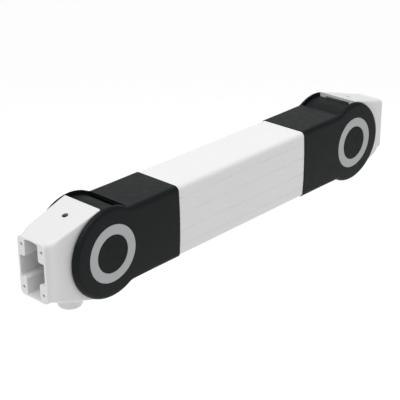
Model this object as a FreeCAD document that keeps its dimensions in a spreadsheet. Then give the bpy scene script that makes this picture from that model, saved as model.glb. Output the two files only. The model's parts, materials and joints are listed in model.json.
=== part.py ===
"""Height-adjustable support arm: a box beam between two forked joints, each carrying a flanged head.

Frame: +X runs along the beam from the rear head to the front head, +Z is up, and the origin is the
centre of the rear head's mounting face. Millimetres throughout. Each end of the arm is drawn in its
own frame, with the pivot at the origin and +X pointing outboard, and is then put in place.
"""
import FreeCAD, Part
import math
import os
import Sketcher
from FreeCAD import Placement, Rotation, Vector

doc = FreeCAD.newDocument("support_arm")
sheet = doc.addObject("Spreadsheet::Sheet", "Dims")
sheet.Label = "Dims"
STRAIGHT = Rotation()
ALONG_X = Rotation(Vector(0, 1, 0), 90)
ALONG_Y = Rotation(Vector(1, 0, 0), -90)
HALF_TURN = Rotation(Vector(0, 0, 1), 180)


class Size:
    """A length that carries its value and the spreadsheet formula it comes from."""

    def __init__(self, value, text):
        self.value = value
        self.text = text

    def __add__(self, other):
        other = size(other)
        return Size(self.value + other.value, "(%s + %s)" % (self.text, other.text))

    def __sub__(self, other):
        other = size(other)
        return Size(self.value - other.value, "(%s - %s)" % (self.text, other.text))

    def __mul__(self, other):
        other = size(other)
        return Size(self.value * other.value, "(%s * %s)" % (self.text, other.text))

    def __truediv__(self, other):
        other = size(other)
        return Size(self.value / other.value, "(%s / %s)" % (self.text, other.text))

    def __radd__(self, other):
        return size(other) + self

    def __rsub__(self, other):
        return size(other) - self

    def __rmul__(self, other):
        return size(other) * self

    def __neg__(self):
        return size(0) - self


def size(number):
    """A plain number as a Size, so the two mix in sums."""
    return number if isinstance(number, Size) else Size(float(number), repr(float(number)))


def root(number):
    return Size(math.sqrt(number.value), "sqrt(%s)" % number.text)


def dim(name, value, note):
    """One driving dimension, written as a named row of the sheet."""
    dim.row += 1
    sheet.set("A%d" % dim.row, name)
    sheet.set("B%d" % dim.row, str(value))
    sheet.set("C%d" % dim.row, note)
    sheet.setAlias("B%d" % dim.row, name)
    return Size(float(value), "Dims." + name)


dim.row = 0

# ---- overall ----
pivot_span = dim("pivot_span", 450, "distance between the two pivots")
head_reach = dim("head_reach", 85, "pivot to the mounting face of a head")
# ---- beam and forks ----
beam_half_height = dim("beam_half_height", 46, "half the height of the black sleeves")
beam_half_width = dim("beam_half_width", 37.5, "half the width of the black sleeves at mid height")
side_radius = dim("side_radius", 640, "radius of the gently bowed sides")
corner_radius = dim("corner_radius", 6, "radius along the edges of the sleeves")
tube_step = dim("tube_step", 0.9, "how far the sleeves stand proud of the tube")
tube_wall = dim("tube_wall", 3, "wall of the beam tube")
sleeve_length = dim("sleeve_length", 108, "pivot to the joint line of sleeve and tube")
spigot_length = dim("spigot_length", 30, "length of the fork's spigot inside the tube")
spigot_wall = dim("spigot_wall", 5, "wall of the spigot")
sleeve_mouth = dim("sleeve_mouth", 30.4, "pivot to the end of the sleeve's top and bottom walls")
cheek_radius = dim("cheek_radius", 55, "radius of the round cheeks")
cheek_gap = dim("cheek_gap", 30, "half the clear width between the cheeks")
rim_radius = dim("rim_radius", 8, "rounding of the cheek rims")
blend_radius = dim("blend_radius", 15, "hollow blend from sleeve to cheek")
recess_floor = dim("recess_floor", 33, "depth line of the recess for ring and cap")
ring_outer = dim("ring_outer", 34.8, "outer radius of the grey ring")
ring_inner = dim("ring_inner", 22.8, "inner radius of the grey ring")
cap_gap = dim("cap_gap", 0.2, "gap round the centre cap")
# ---- pivots ----
shaft_radius = dim("shaft_radius", 7, "pivot shaft")
neck_radius = dim("neck_radius", 5, "waist of the shaft where the pull rod swings past")
neck_half_length = dim("neck_half_length", 8, "half the length of that waist")
running_fit = dim("running_fit", 0.05, "radial clearance of a turning fit")
bush_wall = dim("bush_wall", 2.5, "wall of the pivot bush")
flange_radius = dim("flange_radius", 13, "thrust flange of the bush")
cheek_clearance = dim("cheek_clearance", 0.3, "gap between a turning flange and the cheek")
stud_radius = dim("stud_radius", 4, "stud of a centre cap in the end of the shaft")
stud_length = dim("stud_length", 7, "depth of that stud")
# ---- heads ----
drum_radius = dim("drum_radius", 50, "outer radius of the drum cover")
cover_wall = dim("cover_wall", 2.5, "wall of the drum cover")
drum_clearance = dim("drum_clearance", 1.5, "gap between drum cover and fork")
cover_half_width = dim("cover_half_width", 29.4, "half the width of the drum cover")
cover_overlap = dim("cover_overlap", 0.3, "gap between the drum cover's edge and the lip of the head")
cover_seat_depth = dim("cover_seat_depth", 1, "depth of a sunk cover screw below the drum")
slot_margin = dim("slot_margin", 1.5, "room beside a rod in the drum cover's slots")
slot_top_share = dim("slot_top_share", 0.45, "start of the pull rod's slot, as a share of the drum radius")
slot_hidden_share = dim("slot_hidden_share", 0.84, "start of the slot hidden under the sleeve, same share")
slot_bottom_share = dim("slot_bottom_share", 0.33, "start of the guide rod's slot, same share")
lip_reach = dim("lip_reach", 9, "pivot to the lip where the white head begins")
lip_height = dim("lip_height", 55.5, "half height of the head at that lip")
head_half_width = dim("head_half_width", 29.3, "half width of the head at the lip")
slope_end = dim("slope_end", 73, "pivot to the foot of the sloping top")
face_half_height = dim("face_half_height", 36, "half height of the mounting face")
face_half_width = dim("face_half_width", 22.8, "half width of the mounting face")
head_corner = dim("head_corner", 5.5, "edge radius of the head at its mounting face")
lip_corner = dim("lip_corner", 1.5, "edge radius of the head at the lip")
straight_length = dim("straight_length", 6, "length behind the lip where the head keeps its full width")
taper_in = dim("taper_in", 2.4, "how far each side of the head draws in along the slope")
foot_length = dim("foot_length", 7, "length over which the sides round into the collar")
foot_in = dim("foot_in", 1, "how far each side draws in over that length")
slope_foot = dim("slope_foot", 1.5, "height of the slope's foot above the mounting face")
collar_length = dim("collar_length", 5.5, "length of the collar next to the mounting face")
collar_rise = dim("collar_rise", 0.2, "height of the collar above the mounting face")
collar_flare = dim("collar_flare", 0.3, "extra half width of the collar")
head_wall = dim("head_wall", 4, "top and bottom walls of the head")
mouth_half_height = dim("mouth_half_height", 34.4, "half height of the cable mouth")
cavity_half_width = dim("cavity_half_width", 19.8, "half width of the hollow and of the lug gap")
lug_outer = dim("lug_outer", 28.4, "outer face of the pivot lugs")
boss_inner_side = dim("boss_inner_side", 10.8, "inner side of the screw bosses")
boss_low_edge = dim("boss_low_edge", 13, "lower edge of the screw bosses")
boss_depth = dim("boss_depth", 30, "how far the screw bosses run inward")
screw_half_pitch_y = dim("screw_half_pitch_y", 16.5, "half pitch of the mounting holes, across")
screw_half_pitch_z = dim("screw_half_pitch_z", 26, "half pitch of the mounting holes, upright")
screw_hole_radius = dim("screw_hole_radius", 2, "mounting hole for M4")
screw_hole_depth = dim("screw_hole_depth", 16, "depth of the mounting holes")
# ---- load adjustment ----
spindle_reach = dim("spindle_reach", 34.7, "pivot to the upright spindle")
access_radius = dim("access_radius", 4.3, "access hole in the top of the head")
boss_radius = dim("boss_radius", 14.5, "round boss under the head")
boss_bottom = dim("boss_bottom", 63.5, "depth of the round boss below the pivot")
boss_bevel = dim("boss_bevel", 3.5, "bevel round the lower edge of that boss")
boss_bore = dim("boss_bore", 9, "bore of the round boss")
spindle_radius = dim("spindle_radius", 4, "thread of the spindle")
spindle_head = dim("spindle_head", 6, "head of the spindle")
spindle_top = dim("spindle_top", 33, "top of the spindle head")
spindle_head_height = dim("spindle_head_height", 6, "height of the spindle head")
socket_depth = dim("socket_depth", 4, "socket in the spindle head")
bearing_length = dim("bearing_length", 12, "length of the spindle's bearing")
end_gap = dim("end_gap", 1, "gap between spindle and boss plug")
plug_height = dim("plug_height", 4, "thickness of the boss plug")
carriage_travel = dim("carriage_travel", 2, "travel of the carriage up and down")
pull_lever = dim("pull_lever", 15.5, "height of the pull rod pin above the pivot")
yoke_half_height = dim("yoke_half_height", 5.5, "half height of the carriage yoke")
yoke_inner = dim("yoke_inner", 7, "inner side of the yoke plates")
yoke_wall = dim("yoke_wall", 4.5, "thickness of a yoke plate")
nut_half_length = dim("nut_half_length", 10, "half length of the carriage block")
block_margin = dim("block_margin", 3, "height of the carriage block above and below its yoke")
guide_gap = dim("guide_gap", 0.3, "sliding gap of the carriage in the head")
# ---- rods and spring ----
pull_pin_radius = dim("pull_pin_radius", 2.5, "pull rod pin")
pull_rod_radius = dim("pull_rod_radius", 3, "pull rod")
pull_eye_wall = dim("pull_eye_wall", 1.5, "wall of the pull rod's socket")
pull_eye_reach = dim("pull_eye_reach", 14, "length of that socket past the eye")
rod_tail = dim("rod_tail", 8, "length of the pull rod past its nut")
rod_play = dim("rod_play", 0.6, "room round the pull rod in the spring seat")
rod_drift = dim("rod_drift", 0.75, "share of its height the pull rod keeps where it passes the spring seat")
guide_lever = dim("guide_lever", 24, "depth of the guide rod pins below the pivots")
guide_pin_radius = dim("guide_pin_radius", 3.5, "guide rod pins")
guide_rod_radius = dim("guide_rod_radius", 3.5, "guide rod")
rod_eye_radius = dim("rod_eye_radius", 7, "eye of a guide rod end")
rod_eye_half = dim("rod_eye_half", 6, "half width of a guide rod end")
rod_end_wall = dim("rod_end_wall", 1.8, "wall of a guide rod end's socket")
rod_end_reach = dim("rod_end_reach", 12, "length of that socket past the eye")
rod_stop = dim("rod_stop", 4, "solid length between eye and socket")
seat_thickness = dim("seat_thickness", 5, "spring seat and spring plate")
seat_inset = dim("seat_inset", 2, "gap between the spring seat and the sides of the tube")
plate_margin = dim("plate_margin", 1, "rim of the spring plate outside the coil")
spring_length = dim("spring_length", 115, "fitted length of the main spring")
spring_radius = dim("spring_radius", 10, "mean coil radius")
wire_radius = dim("wire_radius", 1.6, "spring wire")
spring_turns = dim("spring_turns", 13, "number of coils")
small_screw = dim("small_screw", 2, "shank radius of the small screws")
small_head = dim("small_head", 3.8, "head radius of the small screws")
small_head_height = dim("small_head_height", 2, "head height of the small screws")
cover_screw_length = dim("cover_screw_length", 9, "screws of the drum covers, with head")
tube_screw_length = dim("tube_screw_length", 8, "screws from tube to fork, with head")
nut_across = dim("nut_across", 11, "across flats of the lock nuts")
nut_height = dim("nut_height", 5, "height of the lock nuts")
doc.recompute()

# ---- sizes that follow from the ones above ----
rear_x = head_reach
front_x = head_reach + pivot_span
tube_half_height = beam_half_height - tube_step
tube_half_width = beam_half_width - tube_step
bore_half_height = tube_half_height - tube_wall
bore_half_width = tube_half_width - tube_wall
passage_half_height = bore_half_height - spigot_wall
passage_half_width = bore_half_width - spigot_wall
lug_radius = drum_radius - cover_wall
spigot_end = sleeve_length + spigot_length
seat_x = rear_x + spigot_end
plate_x = seat_x + seat_thickness + spring_length
cover_screw_y = (cavity_half_width + lug_outer) / 2
cover_seat = cover_seat_depth - drum_radius
tube_screw_y = bore_half_width / 2
tube_screw_x = sleeve_length + spigot_length / 2
slot_half_width = pull_rod_radius + slot_margin
slot_top_x = drum_radius * slot_top_share
slot_hidden_x = drum_radius * slot_hidden_share
slot_bottom_x = drum_radius * slot_bottom_share

# Cutting tools run past the faces they cut by a margin, or right through the part.
MARGIN = 1
OUTSIZE = cheek_radius * 3


# ---- drawing helpers ----
def put(obj, x=0, y=0, z=0, turn=STRAIGHT):
    """Turn an object and tie its position to the sheet."""
    obj.Placement = Placement(Vector(0, 0, 0), turn)
    for axis, amount in zip("xyz", (x, y, z)):
        amount = size(amount)
        if amount.text != "0.0":
            obj.setExpression("Placement.Base." + axis, amount.text)
    return obj


def draw(sketch, outline):
    """Closed outline, counter-clockwise: (x, y) or (x, y, arc radius to the next corner).

    A positive radius bows the side outward, a negative one bows it inward.
    """
    corners = [[size(number) for number in corner] for corner in outline]
    count = len(corners)
    ends = []
    for index, corner in enumerate(corners):
        following = corners[(index + 1) % count]
        p = Vector(corner[0].value, corner[1].value, 0)
        q = Vector(following[0].value, following[1].value, 0)
        if len(corner) == 2:
            sketch.addGeometry(Part.LineSegment(p, q), False)
            ends.append((1, 2))
            continue
        radius = corner[2]
        side = Vector(p.y - q.y, q.x - p.x, 0).normalize()
        reach = math.sqrt(max(0, radius.value ** 2 - (q - p).Length ** 2 / 4))
        centre = (p + q) / 2 + side * math.copysign(reach, radius.value)
        first, last = (p, q) if radius.value > 0 else (q, p)
        angles = [math.atan2(v.y - centre.y, v.x - centre.x) for v in (first, last)]
        circle = Part.Circle(centre, Vector(0, 0, 1), abs(radius.value))
        sketch.addGeometry(Part.ArcOfCircle(circle, angles[0], angles[1]), False)
        ends.append((1, 2) if radius.value > 0 else (2, 1))
    for index in range(count):
        follow = (index + 1) % count
        sketch.addConstraint(Sketcher.Constraint("Coincident", index, ends[index][1], follow, ends[follow][0]))
    for index, corner in enumerate(corners):
        for axis, amount in zip("XY", corner[:2]):
            fixed = Sketcher.Constraint("Distance" + axis, -1, 1, index, ends[index][0], amount.value)
            number = sketch.addConstraint(fixed)
            sketch.setExpression("Constraints[%d]" % number, amount.text)
        if len(corner) == 3:
            bow = corner[2] if corner[2].value > 0 else -corner[2]
            number = sketch.addConstraint(Sketcher.Constraint("Radius", index, bow.value))
            sketch.setExpression("Constraints[%d]" % number, bow.text)
    return sketch


PLANES = {
    "xy": Rotation(),
    "xz": Rotation(Vector(1, 0, 0), 90),
    "yz": Rotation(Vector(1, 1, 1), 120),
}


def prism(plane, outline, start, end):
    """An outline carried square to its plane from start to end."""
    start, end = size(start), size(end)
    sketch = doc.addObject("Sketcher::SketchObject", "Outline")
    base = {"xy": (0, 0, start), "xz": (0, end, 0), "yz": (start, 0, 0)}[plane]
    put(sketch, *base, turn=PLANES[plane])
    draw(sketch, outline)
    solid = doc.addObject("Part::Extrusion", "Prism")
    solid.Base = sketch
    solid.DirMode = "Normal"
    solid.Solid = True
    solid.setExpression("LengthFwd", (end - start).text)
    return solid


def block(x0, x1, y0, y1, z0, z1):
    """A rectangular block between two corners."""
    solid = doc.addObject("Part::Box", "Block")
    for prop, low, high in (("Length", x0, x1), ("Width", y0, y1), ("Height", z0, z1)):
        solid.setExpression(prop, (size(high) - size(low)).text)
    return put(solid, x0, y0, z0)


def rod(axis, radius, start, end, across=0, up=0):
    """A round bar along an axis; across and up are its two other coordinates in x, y, z order."""
    solid = doc.addObject("Part::Cylinder", "Round")
    solid.setExpression("Radius", size(radius).text)
    solid.setExpression("Height", (size(end) - size(start)).text)
    if axis == "x":
        return put(solid, start, across, up, ALONG_X)
    if axis == "y":
        return put(solid, across, start, up, ALONG_Y)
    return put(solid, across, up, start, STRAIGHT)


def ordered(a, b):
    """Two sizes, the smaller first."""
    return (a, b) if size(a).value < size(b).value else (b, a)


def fuse(*solids):
    joined = doc.addObject("Part::MultiFuse", "Fuse")
    joined.Shapes = list(solids)
    joined.Refine = True
    return joined


def cut(base, *tools):
    """A solid with one or more tools taken out of it."""
    result = doc.addObject("Part::Cut", "Cut")
    result.Base = base
    result.Tool = tools[0] if len(tools) == 1 else fuse(*tools)
    result.Refine = True
    return result


def overlap(*solids):
    shared = doc.addObject("Part::MultiCommon", "Common")
    shared.Shapes = list(solids)
    return shared


def loft(sections):
    """A ruled solid through closed sketches."""
    solid = doc.addObject("Part::Loft", "Loft")
    solid.Sections = sections
    solid.Solid = True
    solid.Ruled = True
    return solid


def bowed_section(half_width, half_height, corner):
    """Cross-section of the beam: flat top and bottom, bowed sides, rounded edges (y, z)."""
    middle = half_width - side_radius
    reach = side_radius - corner
    edge_y = middle + root(reach * reach - (half_height - corner) * (half_height - corner))
    side_y = middle + side_radius * (edge_y - middle) / reach
    side_z = side_radius * (half_height - corner) / reach
    return [
        (side_y, -side_z, side_radius), (side_y, side_z, corner),
        (edge_y, half_height), (-edge_y, half_height, corner),
        (-side_y, side_z, side_radius), (-side_y, -side_z, corner),
        (-edge_y, -half_height), (edge_y, -half_height, corner),
    ]


def rounded_rectangle(half_width, half_height, corner):
    flat_y, flat_z = half_width - corner, half_height - corner
    return [
        (half_width, -flat_z), (half_width, flat_z, corner),
        (flat_y, half_height), (-flat_y, half_height, corner),
        (-half_width, flat_z), (-half_width, -flat_z, corner),
        (-flat_y, -half_height), (flat_y, -half_height, corner),
    ]


def body_sketch(body, plane, outline):
    """A sketch on one of the body's own origin planes."""
    sketch = body.newObject("Sketcher::SketchObject", "Profile")
    support = [item for item in body.Origin.OriginFeatures if item.Role == plane][0]
    sketch.AttachmentSupport = [(support, "")]
    sketch.MapMode = "FlatFace"
    return draw(sketch, outline)


def turned(label, profile):
    """A turned part: (radius, height) corners revolved about the body's own Z axis."""
    body = doc.addObject("PartDesign::Body", label)
    body.Label = label
    sketch = body_sketch(body, "XZ_Plane", profile)
    spin = body.newObject("PartDesign::Revolution", "Turn")
    spin.Profile = sketch
    spin.ReferenceAxis = (sketch, ["V_Axis"])
    spin.Angle = 360
    sketch.Visibility = False
    body.Tip = spin
    return body


def solid_bar(radius, length):
    return [(0, 0), (radius, 0), (radius, length), (0, length)]


def bored_bar(bore, radius, length):
    return [(bore, 0), (radius, 0), (radius, length), (bore, length)]


def hexagon(across_flats):
    half = across_flats / 2
    wide, narrow = across_flats / math.sqrt(3), across_flats / math.sqrt(12)
    return [(wide, 0), (narrow, half), (-narrow, half), (-wide, 0), (-narrow, -half), (narrow, -half)]


parts = []


def finish(obj, label, x=0, y=0, z=0, turn=STRAIGHT):
    """Name a finished part, put it in place and keep it for export."""
    obj.Label = label
    put(obj, x, y, z, turn)
    parts.append(obj)
    return obj


# ---- the two ends: head side ----
slope = (lip_height - face_half_height - slope_foot) / (slope_end - lip_reach)


def crest(x):
    """Half height of the head's sloping top at a distance x from the pivot."""
    return lip_height - (size(x) - lip_reach) * slope


def head_section(x, half_width, half_height, corner):
    sketch = doc.addObject("Sketcher::SketchObject", "Section")
    put(sketch, x, turn=PLANES["yz"])
    return draw(sketch, rounded_rectangle(half_width, half_height, corner))


def head_shell():
    """Tapered outside of the head, its edges softer towards the mounting face."""
    taper_start = lip_reach + straight_length
    taper_end = slope_end - foot_length
    taper_width = head_half_width - taper_in
    collar_x = head_reach - collar_length
    softening = (head_corner - lip_corner) / (collar_x - lip_reach)
    sections = [
        (lip_reach, head_half_width, lip_height),
        (taper_start, head_half_width, crest(taper_start)),
        (taper_end, taper_width, crest(taper_end)),
        (slope_end, taper_width - foot_in, crest(slope_end)),
        (collar_x, face_half_width + collar_flare, face_half_height + collar_rise),
    ]
    soft = [head_section(x, wide, high, lip_corner + (x - lip_reach) * softening) for x, wide, high in sections]
    return loft(soft + [head_section(head_reach, face_half_width, face_half_height, head_corner)])


def head_casting():
    """White casting: tapered shell, pivot lugs, screw bosses and the round boss underneath."""
    lugs = [
        rod("y", lug_radius, cavity_half_width, lug_outer),
        rod("y", lug_radius, -lug_outer, -cavity_half_width),
    ]
    under = cut(
        rod("z", boss_radius, -boss_bottom, -crest(spindle_reach) + head_wall, spindle_reach),
        bevel_tool(boss_radius, -boss_bottom, spindle_reach),
    )
    inside_top = crest(lip_reach) - head_wall
    inside_end = crest(slope_end) - head_wall
    collar_x = head_reach - collar_length
    past = head_reach + MARGIN
    hollow = prism("xz", [
        (-lip_reach, -inside_top), (lip_reach, -inside_top), (slope_end, -inside_end),
        (collar_x, -mouth_half_height), (past, -mouth_half_height),
        (past, mouth_half_height), (collar_x, mouth_half_height),
        (slope_end, inside_end), (lip_reach, inside_top), (-lip_reach, inside_top),
    ], -cavity_half_width, cavity_half_width)
    shell = cut(fuse(head_shell(), under, *lugs), hollow)
    bosses = []
    holes = []
    for side in (-1, 1):
        for level in (-1, 1):
            inner, outer = ordered(boss_inner_side * side, (cavity_half_width + MARGIN) * side)
            low, high = ordered(boss_low_edge * level, (mouth_half_height + MARGIN) * level)
            bosses.append(block(head_reach - boss_depth, head_reach, inner, outer, low, high))
            holes.append(rod("x", screw_hole_radius, head_reach - screw_hole_depth, past,
                             screw_half_pitch_y * side, screw_half_pitch_z * level))
    holes.append(rod("z", access_radius, 0, OUTSIZE, spindle_reach))
    holes.append(rod("z", boss_bore, -OUTSIZE, -crest(spindle_reach) + head_wall * 2, spindle_reach))
    holes.append(rod("y", shaft_radius + running_fit + bush_wall, -lug_outer - MARGIN, lug_outer + MARGIN))
    holes.append(rod("y", guide_pin_radius, -lug_outer - MARGIN, lug_outer + MARGIN, 0, -guide_lever))
    screw_tip = cover_seat + cover_screw_length - small_head_height
    for side in (-1, 1):
        low, high = ordered(lug_outer * side, OUTSIZE * side)
        holes.append(rod("y", flange_radius, low, high))
        holes.append(rod("z", small_screw, -OUTSIZE, screw_tip, 0, cover_screw_y * side))
    return cut(fuse(shell, *bosses), *holes)


def bevel_tool(radius, bottom, x):
    """Tool that bevels the lower edge of a round boss."""
    cone = doc.addObject("Part::Cone", "Bevel")
    cone.setExpression("Radius1", (radius - boss_bevel).text)
    cone.setExpression("Radius2", radius.text)
    cone.setExpression("Height", boss_bevel.text)
    put(cone, x, 0, bottom)
    return cut(rod("z", radius + MARGIN, bottom, bottom + boss_bevel, x), cone)


def drum_cover(pull_slot):
    """Black curved cover between the cheeks, slotted for the guide rod and, at one end, the pull rod."""
    tools = [
        rod("y", lug_radius, -OUTSIZE, OUTSIZE),
        block(lip_reach - cover_overlap, OUTSIZE, -OUTSIZE, OUTSIZE, -OUTSIZE, OUTSIZE),
        block(-OUTSIZE, -slot_bottom_x, -slot_half_width, slot_half_width, -OUTSIZE, 0),
    ]
    upper_x = slot_top_x if pull_slot else slot_hidden_x
    tools.append(block(-OUTSIZE, -upper_x, -slot_half_width, slot_half_width, 0, OUTSIZE))
    for side in (-1, 1):
        tools.append(rod("z", small_screw, -OUTSIZE, 0, 0, cover_screw_y * side))
        tools.append(rod("z", small_head, -OUTSIZE, cover_seat, 0, cover_screw_y * side))
    return cut(rod("y", drum_radius, -cover_half_width, cover_half_width), *tools)


# ---- the two ends: beam side ----
def cheek_disc(side):
    """Round cheek with a rounded rim, on one side of the fork."""
    face = beam_half_width + MARGIN
    shoulder = face - rim_radius
    torus = doc.addObject("Part::Torus", "Rim")
    torus.setExpression("Radius1", (cheek_radius - rim_radius).text)
    torus.setExpression("Radius2", rim_radius.text)
    put(torus, 0, shoulder * side, 0, ALONG_Y)
    low, high = ordered(0, shoulder * side)
    flat_low, flat_high = ordered(0, face * side)
    return [
        torus,
        rod("y", cheek_radius, low, high),
        rod("y", cheek_radius - rim_radius, flat_low, flat_high),
    ]


def fork_blend(level):
    """Hollow blend between the sleeve and a cheek, above (+1) or below (-1)."""
    arm = cheek_radius + blend_radius
    height = beam_half_height + blend_radius
    foot = root(arm * arm - height * height)
    tip_x = foot * cheek_radius / arm
    tip_z = height * cheek_radius / arm
    low = beam_half_height - corner_radius
    outline = [(-foot, low), (-tip_x, low), (-tip_x, tip_z), (-foot, beam_half_height)]
    if level < 0:
        outline = [(x, -z) for x, z in reversed(outline)]
    wedge = prism("xz", outline, -beam_half_width - MARGIN, beam_half_width + MARGIN)
    return cut(wedge, rod("y", blend_radius, -OUTSIZE, OUTSIZE, -foot, height * level))


def side_envelope(x0, x1):
    """The bowed outer sides of the beam, without its top and bottom."""
    edge = side_radius - root(side_radius * side_radius - cheek_radius * cheek_radius)
    narrow = beam_half_width - edge
    return prism("yz", [
        (narrow, -cheek_radius, side_radius), (narrow, cheek_radius),
        (-narrow, cheek_radius, side_radius), (-narrow, -cheek_radius),
    ], x0, x1)


def fork():
    """Black fork: sleeve, spigot for the tube and two round cheeks."""
    sleeve = prism("yz", bowed_section(beam_half_width, beam_half_height, corner_radius),
                   -sleeve_length, -sleeve_mouth)
    root_x = -sleeve_mouth - MARGIN
    arms = prism("xz", [
        (root_x, -beam_half_height + corner_radius), (0, -cheek_radius + rim_radius),
        (0, cheek_radius - rim_radius), (root_x, beam_half_height - corner_radius),
    ], -beam_half_width - MARGIN, beam_half_width + MARGIN)
    cheeks = overlap(
        fuse(arms, fork_blend(1), fork_blend(-1), *cheek_disc(-1), *cheek_disc(1)),
        side_envelope(-sleeve_length, cheek_radius + MARGIN),
    )
    spigot = prism("yz", bowed_section(bore_half_width, bore_half_height, corner_radius - tube_wall),
                   -spigot_end, -sleeve_length + MARGIN)
    recess = []
    for side in (-1, 1):
        low, high = ordered(recess_floor * side, OUTSIZE * side)
        recess.append(rod("y", ring_outer, low, high))
    tools = [
        block(-sleeve_mouth, OUTSIZE, -cheek_gap, cheek_gap, -OUTSIZE, OUTSIZE),
        rod("y", drum_radius + drum_clearance, -cheek_gap, cheek_gap),
        block(-spigot_end - MARGIN, -sleeve_mouth + MARGIN, -passage_half_width, passage_half_width,
              -passage_half_height, passage_half_height),
        rod("y", shaft_radius, -OUTSIZE, OUTSIZE),
    ]
    tools += recess
    tools += [rod("z", small_screw, -OUTSIZE, 0, -tube_screw_x, tube_screw_y * side) for side in (-1, 1)]
    return cut(fuse(sleeve, cheeks, spigot), *tools)


def flush_disc(outer, inner, side):
    """Flat ring or disc let into a cheek, its outer face bowed like the cheek."""
    low, high = ordered(recess_floor * side, (beam_half_width + MARGIN) * side)
    disc = rod("y", outer, low, high)
    if inner is not None:
        disc = cut(disc, rod("y", inner, -OUTSIZE, OUTSIZE))
    return overlap(disc, side_envelope(-cheek_radius, cheek_radius))


SIDES = (("near", -1), ("far", 1))
for end, pivot_x, heading in (("rear", rear_x, HALF_TURN), ("front", front_x, STRAIGHT)):
    outward = -1 if end == "rear" else 1
    finish(head_casting(), end + "_head", pivot_x, turn=heading)
    finish(drum_cover(end == "rear"), end + "_drum_cover", pivot_x, turn=heading)
    finish(fork(), end + "_fork", pivot_x, turn=heading)

    # Pivot shaft held between the cheeks, with a bush in each lug of the head.
    waist_taper = shaft_radius - neck_radius
    shaft = turned(end + "_pivot_shaft", [
        (0, stud_length), (stud_radius, stud_length), (stud_radius, 0), (shaft_radius, 0),
        (shaft_radius, recess_floor - neck_half_length - waist_taper),
        (neck_radius, recess_floor - neck_half_length), (neck_radius, recess_floor + neck_half_length),
        (shaft_radius, recess_floor + neck_half_length + waist_taper),
        (shaft_radius, recess_floor * 2), (stud_radius, recess_floor * 2),
        (stud_radius, recess_floor * 2 - stud_length), (0, recess_floor * 2 - stud_length),
    ])
    finish(shaft, end + "_pivot_shaft", pivot_x, -recess_floor, 0, ALONG_Y)
    bore = shaft_radius + running_fit
    tail = lug_outer - cavity_half_width
    flange = cheek_gap - cheek_clearance - lug_outer
    for side_name, side in SIDES:
        bush = turned("%s_bush_%s" % (end, side_name), [
            (bore, 0), (bore + bush_wall, 0), (bore + bush_wall, tail), (flange_radius, tail),
            (flange_radius, tail + flange), (bore, tail + flange),
        ])
        facing = Rotation(Vector(1, 0, 0), -90 * side)
        finish(bush, bush.Label, pivot_x, cavity_half_width * side, 0, facing)
        ring = flush_disc(ring_outer, ring_inner, side)
        finish(ring, "%s_ring_%s" % (end, side_name), pivot_x)
        low, high = ordered((recess_floor - stud_length) * side, (recess_floor + MARGIN) * side)
        cap = fuse(flush_disc(ring_inner - cap_gap, None, side), rod("y", stud_radius, low, high))
        finish(cap, "%s_cap_%s" % (end, side_name), pivot_x)
        screw = turned("%s_cover_screw_%s" % (end, side_name), [
            (0, 0), (small_head, 0), (small_head, small_head_height), (small_screw, small_head_height),
            (small_screw, cover_screw_length), (0, cover_screw_length),
        ])
        finish(screw, screw.Label, pivot_x, cover_screw_y * side, cover_seat - small_head_height)
        screw = turned("%s_tube_screw_%s" % (end, side_name), [
            (0, 0), (small_head, 0), (small_head, small_head_height), (small_screw, small_head_height),
            (small_screw, tube_screw_length), (0, tube_screw_length),
        ])
        screw_x = pivot_x - tube_screw_x * outward
        finish(screw, screw.Label, screw_x, tube_screw_y * side, -tube_half_height - small_head_height)

    # Pin for the guide rod and the plug that closes the round boss.
    pin = turned(end + "_guide_pin", solid_bar(guide_pin_radius, lug_outer * 2))
    finish(pin, pin.Label, pivot_x, -lug_outer, -guide_lever, ALONG_Y)
    plug = turned(end + "_boss_plug", solid_bar(boss_bore, plug_height))
    finish(plug, plug.Label, pivot_x + spindle_reach * outward, 0, -boss_bottom)

# ---- beam tube ----
tube = cut(
    prism("yz", bowed_section(tube_half_width, tube_half_height, corner_radius),
          rear_x + sleeve_length, front_x - sleeve_length),
    prism("yz", bowed_section(bore_half_width, bore_half_height, corner_radius - tube_wall),
          rear_x + sleeve_length - MARGIN, front_x - sleeve_length + MARGIN),
    *[rod("z", small_screw, -OUTSIZE, 0, x, tube_screw_y * side)
      for x in (rear_x + tube_screw_x, front_x - tube_screw_x)
      for side in (-1, 1)],
)
finish(tube, "beam_tube")

# ---- load spindle, its bearing and the carriage it lifts ----
spindle_x = rear_x - spindle_reach
shoulder = spindle_top - spindle_head_height
foot = boss_bottom - plug_height - end_gap
spindle = turned("load_spindle", [
    (0, 0), (spindle_radius, 0), (spindle_radius, foot + shoulder),
    (spindle_head, foot + shoulder), (spindle_head, foot + spindle_top),
    (spindle_head / 2, foot + spindle_top), (spindle_head / 2, foot + spindle_top - socket_depth),
    (0, foot + spindle_top - socket_depth),
])
finish(spindle, "load_spindle", spindle_x, 0, -foot)
bearing = turned("spindle_bearing", bored_bar(spindle_radius + running_fit, boss_bore, bearing_length))
finish(bearing, "spindle_bearing", spindle_x, 0, -boss_bottom + plug_height)

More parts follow.
